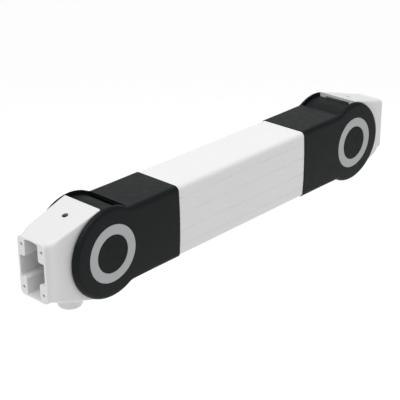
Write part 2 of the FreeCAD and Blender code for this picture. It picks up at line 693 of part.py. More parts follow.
yoke_outer = yoke_inner + yoke_wall
nut_edge = spindle_x + nut_half_length
yoke_plates = []
for side_name, side in SIDES:
    low, high = ordered(yoke_inner * side, yoke_outer * side)
    yoke_plates.append(block(nut_edge - MARGIN, rear_x, low, high,
                             pull_lever - yoke_half_height, pull_lever + yoke_half_height))
    yoke_plates.append(rod("y", yoke_half_height, low, high, rear_x, pull_lever))
carriage = cut(
    fuse(block(spindle_x - nut_half_length, nut_edge, -cavity_half_width + guide_gap,
               cavity_half_width - guide_gap, pull_lever - yoke_half_height - block_margin,
               pull_lever + yoke_half_height + block_margin), *yoke_plates),
    rod("z", spindle_radius + running_fit, 0, OUTSIZE, spindle_x),
    rod("y", pull_pin_radius, -OUTSIZE, OUTSIZE, rear_x, pull_lever),
)
finish(carriage, "carriage")
carriage_pin = turned("carriage_pin", solid_bar(pull_pin_radius, yoke_outer * 2))
finish(carriage_pin, "carriage_pin", rear_x, -yoke_outer, pull_lever, ALONG_Y)

# ---- pull rod with its eye, spring plate and nut ----
eye_end = rear_x + yoke_half_height + pull_eye_reach
eye = cut(
    fuse(rod("y", yoke_half_height, -yoke_inner + guide_gap, yoke_inner - guide_gap, rear_x, pull_lever),
         rod("x", pull_rod_radius + pull_eye_wall, rear_x, eye_end, 0, pull_lever)),
    rod("y", pull_pin_radius + running_fit, -OUTSIZE, OUTSIZE, rear_x, pull_lever),
    rod("x", pull_rod_radius, rear_x + yoke_half_height, eye_end + MARGIN, 0, pull_lever),
)
finish(eye, "pull_rod_eye")
plate_radius = spring_radius + wire_radius + plate_margin
plate = turned("spring_plate", bored_bar(pull_rod_radius, plate_radius, seat_thickness))
finish(plate, "spring_plate", plate_x, 0, pull_lever, ALONG_X)
rod_tip = plate_x + seat_thickness + nut_height + rod_tail
pull_rod = turned("pull_rod", solid_bar(pull_rod_radius, rod_tip - rear_x - yoke_half_height))
finish(pull_rod, "pull_rod", rear_x + yoke_half_height, 0, pull_lever, ALONG_X)


def lock_nut(label, x, z, bore):
    """Hexagon nut on a rod along X."""
    blank = prism("yz", hexagon(nut_across), x, x + nut_height)
    put(blank.Base, x, 0, z, PLANES["yz"])
    return finish(cut(blank, rod("x", bore, x - MARGIN, x + nut_height + MARGIN, 0, z)), label)


lock_nut("spring_nut", plate_x + seat_thickness, pull_lever, pull_rod_radius)

# ---- spring seat, resting against the end of the rear fork's spigot ----
slot_half = pull_rod_radius + rod_play
slot_low = (pull_lever - carriage_travel) * rod_drift - slot_half
slot_high = pull_lever + carriage_travel + slot_half
seat_side = bore_half_width - seat_inset
seat_shoulder = bore_half_height - corner_radius
seat_top = bore_half_width - corner_radius
seat = cut(
    prism("yz", [
        (seat_side, 0), (seat_side, seat_shoulder), (seat_top, bore_half_height),
        (-seat_top, bore_half_height), (-seat_side, seat_shoulder), (-seat_side, 0),
    ], seat_x, seat_x + seat_thickness),
    block(seat_x - MARGIN, seat_x + seat_thickness + MARGIN, -slot_half, slot_half, slot_low, slot_high),
)
finish(seat, "spring_seat")

# ---- main spring round the pull rod ----
coil = doc.addObject("Part::Helix", "Coil")
coil.setExpression("Radius", spring_radius.text)
coil.setExpression("Height", (spring_length - wire_radius * 2).text)
coil.setExpression("Pitch", ((spring_length - wire_radius * 2) / spring_turns).text)
wire = doc.addObject("Part::Circle", "Wire")
wire.setExpression("Radius", wire_radius.text)
put(wire, spring_radius, turn=Rotation(Vector(1, 0, 0), 90))
spring = doc.addObject("Part::Sweep", "Spring")
spring.Sections = [wire]
spring.Spine = (coil, ["Edge1"])
spring.Solid = True
spring.Frenet = True
finish(spring, "main_spring", seat_x + seat_thickness + wire_radius, 0, pull_lever, ALONG_X)

# ---- guide rod between the two guide pins ----
end_length = rod_eye_radius + rod_end_reach
socket_start = rod_eye_radius + rod_stop
for end, pivot_x, heading in (("rear", rear_x, 1), ("front", front_x, -1)):
    tip = pivot_x + end_length * heading
    near_end, far_end = (pivot_x, tip) if heading > 0 else (tip, pivot_x)
    rod_end = cut(
        fuse(rod("y", rod_eye_radius, -rod_eye_half, rod_eye_half, pivot_x, -guide_lever),
             rod("x", guide_rod_radius + rod_end_wall, near_end, far_end, 0, -guide_lever)),
        rod("y", guide_pin_radius + running_fit, -OUTSIZE, OUTSIZE, pivot_x, -guide_lever),
        rod("x", guide_rod_radius, rear_x + socket_start, front_x - socket_start, 0, -guide_lever),
    )
    finish(rod_end, "guide_rod_end_" + end)
    nut_start = tip if heading > 0 else tip - nut_height
    lock_nut("guide_rod_nut_" + end, nut_start, -guide_lever, guide_rod_radius)
guide_rod = turned("guide_rod", solid_bar(guide_rod_radius, pivot_span - socket_start * 2))
finish(guide_rod, "guide_rod", rear_x + socket_start, 0, -guide_lever, ALONG_X)

# ---- check and export ----
doc.recompute()
for obj in doc.Objects:
    if "Invalid" in obj.State or "Error" in obj.State:
        raise RuntimeError("%s (%s) did not build: %s" % (obj.Name, obj.Label, obj.State))
os.makedirs("parts", exist_ok=True)
for obj in parts:
    shape = obj.Shape
    if shape.isNull() or not shape.isValid() or not shape.Solids:
        raise RuntimeError("%s is not a valid solid" % obj.Label)
    shape.exportStep("parts/%s.step" % obj.Label)
    box = shape.BoundBox
    print("%-22s %d solid(s) %9.0f mm3  x %6.1f..%6.1f  y %5.1f..%5.1f  z %5.1f..%5.1f" % (
        obj.Label, len(shape.Solids), shape.Volume,
        box.XMin, box.XMax, box.YMin, box.YMax, box.ZMin, box.ZMax))
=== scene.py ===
# %% [markdown]
# # A height-adjustable support arm
# The arm is a white box beam between two black forks. Each fork holds a white head on a pivot, and each
# head ends in a flange with a cable mouth. The CAD model already has every piece in its place, in metres,
# with +X along the beam and +Z up. This script gives it its surfaces: rolled edges, grooves, joint lines,
# paint, moulded grain and metal. The shapes are worked out with numpy from the sizes of the CAD nodes.

import json
import math

import bmesh
import bpy
import numpy as np
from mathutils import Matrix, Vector
from mathutils.geometry import delaunay_2d_cdt


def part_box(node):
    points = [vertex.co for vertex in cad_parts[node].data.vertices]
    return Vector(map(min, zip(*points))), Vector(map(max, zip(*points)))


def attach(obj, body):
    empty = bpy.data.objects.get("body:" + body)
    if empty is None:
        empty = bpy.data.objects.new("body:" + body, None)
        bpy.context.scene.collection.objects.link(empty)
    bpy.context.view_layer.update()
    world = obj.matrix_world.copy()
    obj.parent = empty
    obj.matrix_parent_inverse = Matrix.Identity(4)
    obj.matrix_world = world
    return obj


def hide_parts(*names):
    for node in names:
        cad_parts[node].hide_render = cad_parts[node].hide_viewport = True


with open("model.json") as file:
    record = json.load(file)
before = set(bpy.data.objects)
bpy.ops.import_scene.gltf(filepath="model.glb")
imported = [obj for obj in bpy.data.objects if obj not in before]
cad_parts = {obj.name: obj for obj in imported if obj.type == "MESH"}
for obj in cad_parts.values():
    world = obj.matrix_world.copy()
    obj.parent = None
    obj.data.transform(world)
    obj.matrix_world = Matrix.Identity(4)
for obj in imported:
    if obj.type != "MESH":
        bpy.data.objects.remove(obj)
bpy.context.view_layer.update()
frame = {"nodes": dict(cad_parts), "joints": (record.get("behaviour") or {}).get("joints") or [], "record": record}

# %% [markdown]
# Sizes come from the frame. The two pivots are the places of the hinge joints. The radii and widths are
# read from the boxes of the nodes, so a piece made here always fits the CAD piece that it stands for.

# %% Read the sizes
MM = 0.001
pivots = {joint["name"]: np.array(joint.get("pos_m", (0, 0, 0))) for joint in frame["joints"]}
rear_pivot, front_pivot = pivots["lift"], pivots["front_level"]


def corners(node):
    """Lowest and highest corner of a CAD node as arrays."""
    low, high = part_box(node)
    return np.array(low), np.array(high)


def end_place(end):
    """Pivot and direction of one end: +1 where the head points along +X, -1 where it is turned round."""
    return (front_pivot, 1.0) if end == "front" else (rear_pivot, -1.0)


tube_low, tube_high = corners("beam_tube")
fork_low, fork_high = corners("front_fork")
head_low, head_high = corners("front_head")
ring_low, ring_high = corners("front_ring_far")
plug_low, plug_high = corners("front_boss_plug")
sleeve_half_width = (fork_high[1] - fork_low[1]) / 2
cheek_radius = (fork_high[2] - fork_low[2]) / 2
joint_line = front_pivot[0] - tube_high[0]
head_reach = head_high[0] - front_pivot[0]
ring_radius = (ring_high[2] - ring_low[2]) / 2
boss_x = (plug_low[0] + plug_high[0]) / 2 - front_pivot[0]
print("pivot span %.0f mm, cheek radius %.1f mm, ring radius %.1f mm" % (
    (front_pivot[0] - rear_pivot[0]) / MM, cheek_radius / MM, ring_radius / MM))

# %% [markdown]
# Every new piece is a set of patches. A patch is a grid of points: its rows follow one parameter and its
# columns the other, so whole arrays hold the shape and no loop visits a point. A mirrored patch has its
# faces turned round as well, so that it still faces outwards.

# %% Grids and patches


def grid_faces(rows, columns):
    """Corner numbers of the quads of a grid, as one array.

    A quad joins a point to its right, upper right and upper neighbours."""
    i, j = np.meshgrid(np.arange(rows - 1), np.arange(columns - 1), indexing="ij")
    first = (i * columns + j).ravel()
    return np.stack([first, first + 1, first + columns + 1, first + columns], axis=1)


def patch(points):
    """A grid of points, shape (rows, columns, 3), as vertices and quads."""
    rows, columns = points.shape[:2]
    return points.reshape(-1, 3), grid_faces(rows, columns)


def flipped(part):
    """The same patch seen from its other side."""
    points, faces = part
    return points, faces[:, ::-1]


def mirrored(part, axis):
    """The patch on the other side of a plane through the origin, still facing outwards."""
    points, faces = part
    sign = np.ones(3)
    sign[axis] = -1
    return points * sign, faces[:, ::-1]


example = patch(np.zeros((3, 4, 3)))
print("a grid of 3 by 4 points has", len(example[1]), "quads")

# %% [markdown]
# The patches of a piece share their border points, so merging the doubles closes it, as welding sheets
# along their seams would. The count of open edges shows at once whether a seam was missed. Shading is
# smooth except at sharp edges, the piece hangs on its body, and the CAD nodes that it stands for are
# hidden.

# %% Join the patches into a piece
merge_gap, shortest_edge = 0.02 * MM, 0.01 * MM


def build(name, parts, body, replaces=(), place=None, sharp=35):
    """One piece from its patches: joined, doubles merged, faces outward, smooth but for sharp edges."""
    points, faces, count = [], [], 0
    for part_points, part_faces in parts:
        points.append(part_points)
        faces += [tuple(int(number) + count for number in face) for face in part_faces]
        count += len(part_points)
    points = np.concatenate(points)
    if place is not None:
        pivot, heading = place
        points = points * np.array([heading, heading, 1.0]) + pivot
    mesh = bpy.data.meshes.new(name)
    mesh.from_pydata(points.tolist(), [], faces)
    work = bmesh.new()
    work.from_mesh(mesh)
    bmesh.ops.remove_doubles(work, verts=work.verts, dist=merge_gap)
    bmesh.ops.dissolve_degenerate(work, edges=work.edges, dist=shortest_edge)
    bmesh.ops.delete(work, geom=[point for point in work.verts if not point.link_faces], context="VERTS")
    open_edges = sum(1 for edge in work.edges if len(edge.link_faces) < 2)
    bmesh.ops.recalc_face_normals(work, faces=work.faces)
    work.to_mesh(mesh)
    work.free()
    mesh.polygons.foreach_set("use_smooth", [True] * len(mesh.polygons))
    mesh.set_sharp_from_angle(angle=math.radians(sharp))
    piece = bpy.data.objects.new(name, mesh)
    bpy.context.scene.collection.objects.link(piece)
    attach(piece, body)
    for node in replaces:
        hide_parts(node)
    print("%-22s %6d faces, %d open edges" % (name, len(mesh.polygons), open_edges))
    return piece


# %% [markdown]
# The paint on the castings and on the beam is a powder coat. It isn't mirror smooth: it has a fine
# orange-peel ripple, a slightly uneven gloss and, on the black parts, a sandy texture. Flat colour with one
# roughness would look like plastic foil. Noise on Object coordinates gives the ripple at its real size
# from every side, and a bump node turns it into light and shade.

# %% Recipe for a finish
tone_mm, gloss_mm = 60, 9
ripple_depth, grain_depth = 0.2 * MM, 0.08 * MM
noise_low, noise_high = 0.3, 0.7


def coat(name, colour, rough, rough_spread, ripple_mm, ripple, metallic=0.0, tone=0.03, grain_mm=None,
         grain=0.0, shine=0.5):
    """A finish: colour and roughness vary gently with a broad noise, and fine noises give the bump."""
    material = bpy.data.materials.new(name)
    material.use_nodes = True
    nodes, links = material.node_tree.nodes, material.node_tree.links
    shader = nodes["Principled BSDF"]
    shader.inputs["Metallic"].default_value = metallic
    shader.inputs["Specular IOR Level"].default_value = shine
    place = nodes.new("ShaderNodeTexCoord").outputs["Object"]

    def noise(size_mm, detail):
        texture = nodes.new("ShaderNodeTexNoise")
        texture.inputs["Scale"].default_value = 1000.0 / size_mm
        texture.inputs["Detail"].default_value = detail
        links.new(place, texture.inputs["Vector"])
        return texture.outputs["Fac"]

    def spread(factor, low, high):
        """A noise value stretched over a range: its usual span goes from low to high."""
        ramp = nodes.new("ShaderNodeMapRange")
        ramp.inputs["From Min"].default_value = noise_low
        ramp.inputs["From Max"].default_value = noise_high
        ramp.inputs["To Min"].default_value = low
        ramp.inputs["To Max"].default_value = high
        links.new(factor, ramp.inputs["Value"])
        return ramp.outputs["Result"]

    broad = noise(tone_mm, 3)
    mix = nodes.new("ShaderNodeMix")
    mix.data_type = "RGBA"
    mix.inputs["A"].default_value = (*[channel * (1 - tone) for channel in colour], 1)
    mix.inputs["B"].default_value = (*[min(1, channel * (1 + tone)) for channel in colour], 1)
    links.new(spread(broad, 0, 1), mix.inputs["Factor"])
    links.new(mix.outputs["Result"], shader.inputs["Base Color"])
    gloss = spread(noise(gloss_mm, 4), rough - rough_spread, rough + rough_spread)
    links.new(gloss, shader.inputs["Roughness"])
    height = noise(ripple_mm, 2)
    bump = nodes.new("ShaderNodeBump")
    bump.inputs["Strength"].default_value = ripple
    bump.inputs["Distance"].default_value = ripple_depth
    links.new(height, bump.inputs["Height"])
    if grain_mm:
        fine = nodes.new("ShaderNodeBump")
        fine.inputs["Strength"].default_value = grain
        fine.inputs["Distance"].default_value = grain_depth
        links.new(noise(grain_mm, 3), fine.inputs["Height"])
        links.new(bump.outputs["Normal"], fine.inputs["Normal"])
        bump = fine
    links.new(bump.outputs["Normal"], shader.inputs["Normal"])
    return material


# %% [markdown]
# The arm has few finishes. The beam and the heads are white, the heads a little duller because they are
# cast. The forks have a black powder coat and the covers and caps are moulded. The rings are grey plastic,
# and the bushes, rods, screws and the spring inside are bare metal. Each CAD node gets its slot's finish.

# %% Make the finishes
finishes = {
    "white_coat": coat("white_coat", (0.785, 0.785, 0.785), 0.42, 0.05, 1.6, 0.10, tone=0.01, shine=0.3),
    "cast_white": coat("cast_white", (0.735, 0.735, 0.735), 0.42, 0.05, 1.6, 0.12, tone=0.01, shine=0.4),
    "black_coat": coat("black_coat", (0.008, 0.0105, 0.011), 0.50, 0.04, 1.2, 0.15, tone=0.04, grain_mm=0.5,
                       grain=0.3, shine=0.12),
    "black_plastic": coat("black_plastic", (0.008, 0.010, 0.0105), 0.55, 0.05, 0.9, 0.12, tone=0.08,
                          grain_mm=0.35, grain=0.35, shine=0.12),
    "grey_ring": coat("grey_ring", (0.43, 0.44, 0.445), 0.42, 0.05, 0.8, 0.10, tone=0.02, shine=0.3),
    "bronze": coat("bronze", (0.52, 0.36, 0.19), 0.42, 0.08, 0.7, 0.2, metallic=1.0, tone=0.1),
    "dark_steel": coat("dark_steel", (0.05, 0.05, 0.055), 0.38, 0.08, 0.6, 0.15, metallic=0.8, tone=0.1),
    "zinc_steel": coat("zinc_steel", (0.55, 0.56, 0.58), 0.36, 0.08, 2.2, 0.2, metallic=1.0, tone=0.06),
    "spring_steel": coat("spring_steel", (0.16, 0.16, 0.17), 0.34, 0.08, 0.8, 0.15, metallic=1.0, tone=0.1),
    "bright_steel": coat("bright_steel", (0.60, 0.60, 0.61), 0.26, 0.06, 0.5, 0.1, metallic=1.0, tone=0.04),
}
slots = {part["node"]: part["material_slot"] for part in frame["record"]["subparts"]}
for node, piece in frame["nodes"].items():
    piece.data.materials.clear()
    piece.data.materials.append(finishes[slots[node]])
print(len(finishes), "finishes on", len(frame["nodes"]), "nodes")

# %% [markdown]
# The beam is an extrusion: one cross-section, the same all the way along. Its top and bottom are flat and
# its sides bow out by about a millimetre. Four shallow lines run along each side. A section carried along
# a straight path makes all of it, and the lines are dips in the section's outline.

# %% The section of the beam
bow_radius = 640 * MM


def bow(z):
    """How far a side has fallen back at height z: the sagitta of a large circle."""
    return bow_radius - np.sqrt(bow_radius ** 2 - z ** 2)


def section(half_width, half_height, corner, steps=9, side_points=41, dips=()):
    """Cross-section (y, z), counter-clockwise from the middle of the +Y side, closed.

    The side is y = half_width - bow(z). A corner is a quarter circle from side to top. A dip is a smooth
    notch (height, width, depth): a raised cosine taken off y, with seven points of its own across it."""
    across_dip = np.linspace(-0.5, 0.5, 7)
    extra = [height + width * across_dip for height, width, depth in dips]
    z = np.unique(np.round(np.concatenate([np.linspace(0, half_height - corner, side_points), *extra]), 7))
    y = half_width - bow(z)
    for height, width, depth in dips:
        near = np.clip(np.abs(z - height) / (width / 2), 0, 1)
        y = y - depth * (1 + np.cos(np.pi * near)) / 2
    turn = np.linspace(0, np.pi / 2, steps)[1:]
    base = half_width - bow(half_height - corner) - corner
    y = np.concatenate([y, base + corner * np.cos(turn)])
    z = np.concatenate([z, half_height - corner + corner * np.sin(turn)])
    quarter = np.stack([y, z], axis=1)
    upper = np.concatenate([quarter, quarter[::-1] * (-1, 1)])
    lower = upper[::-1] * (1, -1)
    return np.concatenate([upper, lower[1:]])


def carried(loop, stations):
    """A section carried along X through stations (x, inset).

    At each station the loop is scaled so that its half width and half height lose the inset."""
    rows = []
    for x, inset in stations:
        shrink = 1 - inset / np.abs(loop).max(axis=0)
        rows.append(np.column_stack([np.full(len(loop), x), loop * shrink]))
    return patch(np.array(rows))


print("the side falls back %.2f mm at 39 mm from the middle" % (bow(39 * MM) / MM))

# %% [markdown]
# The tube of the real arm is cut square and lightly deburred, so its ends have a fine bevel that catches
# the light at the joint with the black sleeve. The outside and the bore are two sections carried along X,
# and a flat rim closes each end between them.

# %% The beam tube
tube_half_width = (tube_high[1] - tube_low[1]) / 2
tube_half_height = (tube_high[2] - tube_low[2]) / 2
line_heights, line_width, line_depth = (11 * MM, 30.5 * MM), 1.5 * MM, 0.35 * MM
side_lines = [(height, line_width, line_depth) for height in line_heights]
tube_corner, tube_wall, tube_step = 6 * MM, 3 * MM, 0.9 * MM
inner_width, inner_height = tube_half_width - tube_wall, tube_half_height - tube_wall
outer = section(tube_half_width, tube_half_height, tube_corner, dips=side_lines)
inner = section(inner_width, inner_height, tube_corner - tube_wall, dips=side_lines)
edge = 0.4 * MM
tube_start, tube_end = tube_low[0], tube_high[0]
tube_stations = [(tube_start, edge), (tube_start + edge, 0), (tube_end - edge, 0), (tube_end, edge)]
outside = carried(outer, tube_stations)
bore = flipped(carried(inner, [(tube_start, 0), (tube_end, 0)]))


def rim(loop_a, inset_a, loop_b, x):
    """Flat ring at x between two loops of equal length, the first one drawn in by its inset."""
    a = loop_a * (1 - inset_a / np.abs(loop_a).max(axis=0))
    rows = [np.column_stack([np.full(len(ring), x), ring]) for ring in (a, loop_b)]
    return patch(np.array(rows))


tube = build("beam_tube_skin", [
    outside, bore, flipped(rim(outer, edge, inner, tube_start)), rim(outer, edge, inner, tube_end),
], "beam", ["beam_tube"])
tube.data.materials.append(finishes["white_coat"])

# %% [markdown]
# Each fork is one black casting: a sleeve that takes the end of the tube, opening into two round cheeks.
# Seen from the side its outline is the sleeve's straight edge, a hollow blend and the cheek's circle. One
# strip carried along that outline rolls the edge over. The roll is a quarter circle on the sleeve and
# becomes narrower on the cheeks. Every patch is drawn for one quarter of the fork and mirrored twice, in
# the frame of one end: the pivot at the origin and +X towards the head.

# %% Outline of the fork
half_height = tube_half_height + tube_step
blend_radius = 15 * MM
cheek_face = 30 * MM
mouth_x = -30.4 * MM
strip_start, line_end = -45 * MM, -40 * MM
joint_bevel = 0.5 * MM
blend_x = -math.sqrt((cheek_radius + blend_radius) ** 2 - (half_height + blend_radius) ** 2)
blend_z = half_height + blend_radius


def side(z):
    """Outer side of a fork at height z: the half width less the bow."""
    return sleeve_half_width - bow(z)


def fork_outline():
    """Upper outline from the joint line to the tip: points (x, z) and unit vectors pointing inward.

    It is a straight line, then an arc that curves away from a centre above it, then the cheek's circle."""
    line_x = np.concatenate([np.linspace(joint_bevel - joint_line, strip_start, 10), [line_end]])
    line = np.column_stack([line_x, np.full(len(line_x), half_height)])
    line_in = np.tile((0.0, -1.0), (len(line_x), 1))
    mouth_turn = -math.acos((mouth_x - blend_x) / blend_radius)
    tip_turn = math.atan2(-blend_z, -blend_x)
    before, after = np.linspace(-math.pi / 2, mouth_turn, 5), np.linspace(mouth_turn, tip_turn, 4)
    turn = np.concatenate([before, after[1:]])
    arc_in = np.column_stack([np.cos(turn), np.sin(turn)])
    arc = arc_in * blend_radius + (blend_x, blend_z)
    sweep = np.linspace(math.atan2(blend_z, blend_x), 0, 64)[1:]
    round_in = -np.column_stack([np.cos(sweep), np.sin(sweep)])
    outline = np.concatenate([line, arc, -round_in * cheek_radius])
    return outline, np.concatenate([line_in, arc_in, round_in])


outline, inward = fork_outline()
start_at = int(np.argmin(np.abs(outline[:, 0] - strip_start)))
mouth_at = int(np.argmin(np.abs(outline[:, 0] - mouth_x)))
print("outline of", len(outline), "points, mouth at", mouth_at)

# %% [markdown]
# The roll changes from the sleeve's round edge to the cheek's narrower one between two stations, with a
# smooth step so that no kink shows. Inside the roll lies the flank of the sleeve, a plain grid, and then
# the cheek: rays run from the roll and from the end of the flank to the recess for the ring.

# %% Roll, flank and cheek
cheek_roll, cheek_land, ease_start = 5 * MM, 0.3 * MM, -70 * MM
ease = np.clip((outline[:, 0] - ease_start) / (mouth_x - ease_start), 0, 1)
ease = ease ** 2 * (3 - 2 * ease)
roll_width = tube_corner * (1 - ease) + cheek_roll * ease
roll_depth = tube_corner * (1 - ease) + (side(outline[:, 1]) - cheek_face - cheek_land) * ease
turn = np.linspace(0, np.pi / 2, 9)
inset = roll_width[:, None] * (1 - np.cos(turn))
rolled_x = outline[:, :1] + inward[:, :1] * inset
rolled_z = outline[:, 1:] + inward[:, 1:] * inset
rolled_y = side(rolled_z) - roll_depth[:, None] * (1 - np.sin(turn))
rolled = np.stack([rolled_x, rolled_y, rolled_z], axis=2)
height_share = np.linspace(1, 0, 17)


def spokes(rim_points, radius, rows, height):
    """Rays from a border towards the pivot, ending on a circle; height(z) gives y along them."""
    angle = np.arctan2(rim_points[:, 2], rim_points[:, 0])
    ring = np.column_stack([radius * np.cos(angle), radius * np.sin(angle)])
    share = np.linspace(0, 1, rows)[:, None, None]
    flat = rim_points[None][:, :, (0, 2)] * (1 - share) + ring[None] * share
    return np.stack([flat[..., 0], height(flat[..., 1]), flat[..., 1]], axis=2)


flank_edge = rolled[:start_at + 1, -1]
flank_z = flank_edge[:, 2:] * height_share
flank = np.stack(np.broadcast_arrays(flank_edge[:, :1], side(flank_z), flank_z), axis=2)
upright = flank[-1][::-1]
around = np.concatenate([upright[:-1], rolled[start_at:, -1]])
ring_gap = 0.15 * MM
recess = ring_radius + ring_gap
recess_floor = 33 * MM
shaft_radius = 7 * MM
cheek = spokes(around, recess, 7, side)
lip = cheek[-1]
drop = np.stack([lip, np.column_stack([lip[:, 0], np.full(len(lip), recess_floor), lip[:, 2]])])
floor_ring = spokes(drop[-1], shaft_radius, 3, lambda z: np.full_like(z, recess_floor))
hole = np.stack([floor_ring[-1], floor_ring[-1] * (1, cheek_face / recess_floor, 1)])
print("roll %.1f mm wide on the sleeve, %.1f mm on the cheek" % (roll_width[0] / MM, roll_width[-1] / MM))

# %% [markdown]
# Between the cheeks the fork is hollow, so that the drum of the head can turn in it. The end of the
# sleeve's top wall is flat, and behind it the hollow is a cylinder round the pivot. A square passage runs
# on through the sleeve and the spigot for the rods and cables. Flat grids that end on the cylinder make it
# all, and each takes its border points from its neighbour.

# %% The hollow of the fork
hollow_radius = 51.5 * MM
spigot_x = -138 * MM
spigot_width, spigot_height, spigot_corner = inner_width, inner_height, tube_corner - tube_wall
spigot_wall = 5 * MM
passage_width, passage_height = spigot_width - spigot_wall, spigot_height - spigot_wall
edge_y = rolled[mouth_at, 0, 1]
across = np.array([1, cheek_face / edge_y, passage_width / edge_y, 0.7, 0.35, 0])
top = rolled[:mouth_at + 1, 0][:, None] * np.stack([np.ones(6), across, np.ones(6)], axis=1)
rim_band = np.stack([rolled[mouth_at:, 0], rolled[mouth_at:, 0]])
rim_band[1, :, 1] = cheek_face
low_z = math.sqrt(hollow_radius ** 2 - mouth_x ** 2)
lintel_z = np.linspace(outline[mouth_at, 1], low_z, 4)
lintel_y = top[-1, 1:, 1]
lintel = np.stack(np.broadcast_arrays(mouth_x, lintel_y[None], lintel_z[:, None]), axis=2)


def hollow_x(z):
    """The cylinder round the pivot, on the sleeve's side."""
    return -np.sqrt(hollow_radius ** 2 - z ** 2)


def on_hollow(y, z):
    """A grid on that cylinder, with y along its rows and z down its columns."""
    return np.stack(np.broadcast_arrays(hollow_x(z)[:, None], y[None], z[:, None]), axis=2)


soffit = on_hollow(lintel_y, np.linspace(low_z, passage_height, 4))
jamb_z = passage_height * height_share
jamb = on_hollow(np.array([cheek_face, passage_width]), jamb_z)
share = np.linspace(0, 1, 6)[:, None]
tunnel_x = hollow_x(np.array(passage_height)) * (1 - share) + spigot_x * share
ceiling = np.stack(np.broadcast_arrays(tunnel_x, lintel_y[None, 1:], passage_height), axis=2)
wall_x = hollow_x(jamb_z)[None] * (1 - share) + spigot_x * share
tunnel_wall = np.stack(np.broadcast_arrays(wall_x, passage_width, jamb_z[None]), axis=2)
inner_border = np.concatenate([jamb[::-1, 0][:-1], soffit[::-1, 0][:-1], lintel[::-1, 0][:-1], rim_band[1]])
inner_face = spokes(inner_border, shaft_radius, 4, lambda z: np.full_like(z, cheek_face))
inner_face[-1] = hole[-1]
print("passage %.1f x %.1f mm" % (passage_width * 2 / MM, passage_height * 2 / MM))

# %% [markdown]
# The sleeve ends in a bevel at the joint line. Behind it the spigot slides into the tube. The end of the
# sleeve, the shoulder, the spigot and its open end are one grid: each of its rows is a quarter section with
# the same number of points.

# %% Sleeve end and spigot


def quarter(x, width, height, corner_y, corner_z, shares):
    """Quarter section at x, from mid height over the corner to mid width, matching the sleeve's points."""
    z = (height - corner_z) * height_share[::-1]
    y = width - bow(z) if corner_y else np.full_like(z, width)
    bend = turn[::-1][1:]
    bend_y, bend_z = y[-1] - corner_y * (1 - np.sin(bend)), height - corner_z * (1 - np.cos(bend))
    corner = np.column_stack([bend_y, bend_z])
    level = np.column_stack([(y[-1] - corner_y) * shares[1:], np.full(len(shares) - 1, height)])
    flat = np.concatenate([np.column_stack([y, z]), corner, level])
    return np.column_stack([np.full(len(flat), x), flat])


sleeve_end = np.concatenate([flank[0][::-1], rolled[0, ::-1][1:], top[0, 1:]])
bevelled = sleeve_end * (1, 1 - joint_bevel / sleeve_half_width, 1 - joint_bevel / half_height)
bevelled[:, 0] = -joint_line
spigot_root = quarter(-joint_line, spigot_width, spigot_height, spigot_corner, spigot_corner, across)
spigot_tip = quarter(spigot_x, spigot_width, spigot_height, spigot_corner, spigot_corner, across)
passage_shares = np.array([1, 1, 1, *lintel_y[2:] / passage_width])
passage_end = quarter(spigot_x, passage_width, passage_height, 0, 0, passage_shares)
fork_end = np.stack([sleeve_end, bevelled, spigot_root, spigot_tip, passage_end])
fork_quarter = [patch(grid) for grid in (
    rolled, flank, cheek, drop, floor_ring, hole, inner_face, top, rim_band, lintel, soffit, jamb, ceiling,
    tunnel_wall, fork_end)]
print(len(fork_quarter), "patches in a quarter of the fork")

# %% [markdown]
# The two forks of the real arm are the same casting, the rear one turned half round. The quarter is
# mirrored over the middle planes, and the whole is put at each pivot with its heading.

# %% Build the forks


def four_ways(parts):
    """Patches of one quarter, mirrored across the middle planes to make the whole."""
    half = parts + [mirrored(part, 2) for part in parts]
    return half + [mirrored(part, 1) for part in half]


for end in ("rear", "front"):
    fork = build(end + "_fork_casting", four_ways(fork_quarter), "beam", [end + "_fork"],
                 end_place(end), sharp=40)
    fork.data.materials.append(finishes["black_coat"])

# %% [markdown]
# A grey ring and a black cap are let into each cheek. Their faces follow the bow of the side, and a fine
# bevel catches the light along their edges. Both are profiles turned round the pivot's axis, with the
# outermost points pressed onto the bowed side.

# %% Rings and caps


def turned_disc(profile, count=120):
    """A profile turned round the pivot's axis.

    Each of its points is a radius and a depth: y is the height of the bowed side there less the depth. A
    negative depth is a fixed y, with its sign dropped."""
    angle = np.linspace(0, 2 * np.pi, count + 1)
    rows = []
    for radius, depth in profile:
        x, z = radius * np.cos(angle), radius * np.sin(angle)
        y = np.full_like(x, -depth) if depth < 0 else side(z) - depth
        rows.append(np.column_stack([x, y, z]))
    return patch(np.array(rows))


bevel = 0.35 * MM
bore_radius = 22.8 * MM
cap_radius = bore_radius - 0.25 * MM
ring_profile = [
    (bore_radius, -recess_floor), (bore_radius, bevel), (bore_radius + bevel, 0), (ring_radius - bevel, 0),
    (ring_radius, bevel), (ring_radius, -recess_floor), (bore_radius, -recess_floor),
]
stud, stud_end = 4 * MM, 26 * MM
cap_profile = [
    (0, -stud_end), (stud, -stud_end), (stud, -recess_floor), (cap_radius, -recess_floor),
    (cap_radius, bevel), (cap_radius - bevel, 0), (cap_radius * 0.5, 0), (0, 0),
]
inlays = (("ring", ring_profile, "grey_ring"), ("cap", cap_profile, "black_plastic"))
for end in ("rear", "front"):
    pivot, heading = end_place(end)
    for side_name, sign in (("near", -1), ("far", 1)):
        for kind, profile, finish in inlays:
            disc = turned_disc(profile)
            disc = disc if sign * heading > 0 else mirrored(disc, 1)
            piece = build("%s_%s_%s_inlay" % (end, kind, side_name), [disc], "beam",
                          ["%s_%s_%s" % (end, kind, side_name)], (pivot, heading))
            piece.data.materials.append(finishes[finish])

# %% [markdown]
# A head is a thin-walled white casting. Its top and bottom slope from a tall lip beside the drum down to
# the mounting flange, and its sides draw in towards the flange too. Height, width and edge radius are each
# a broken line along X with its kinks rounded, and a rounded rectangle is carried along them.

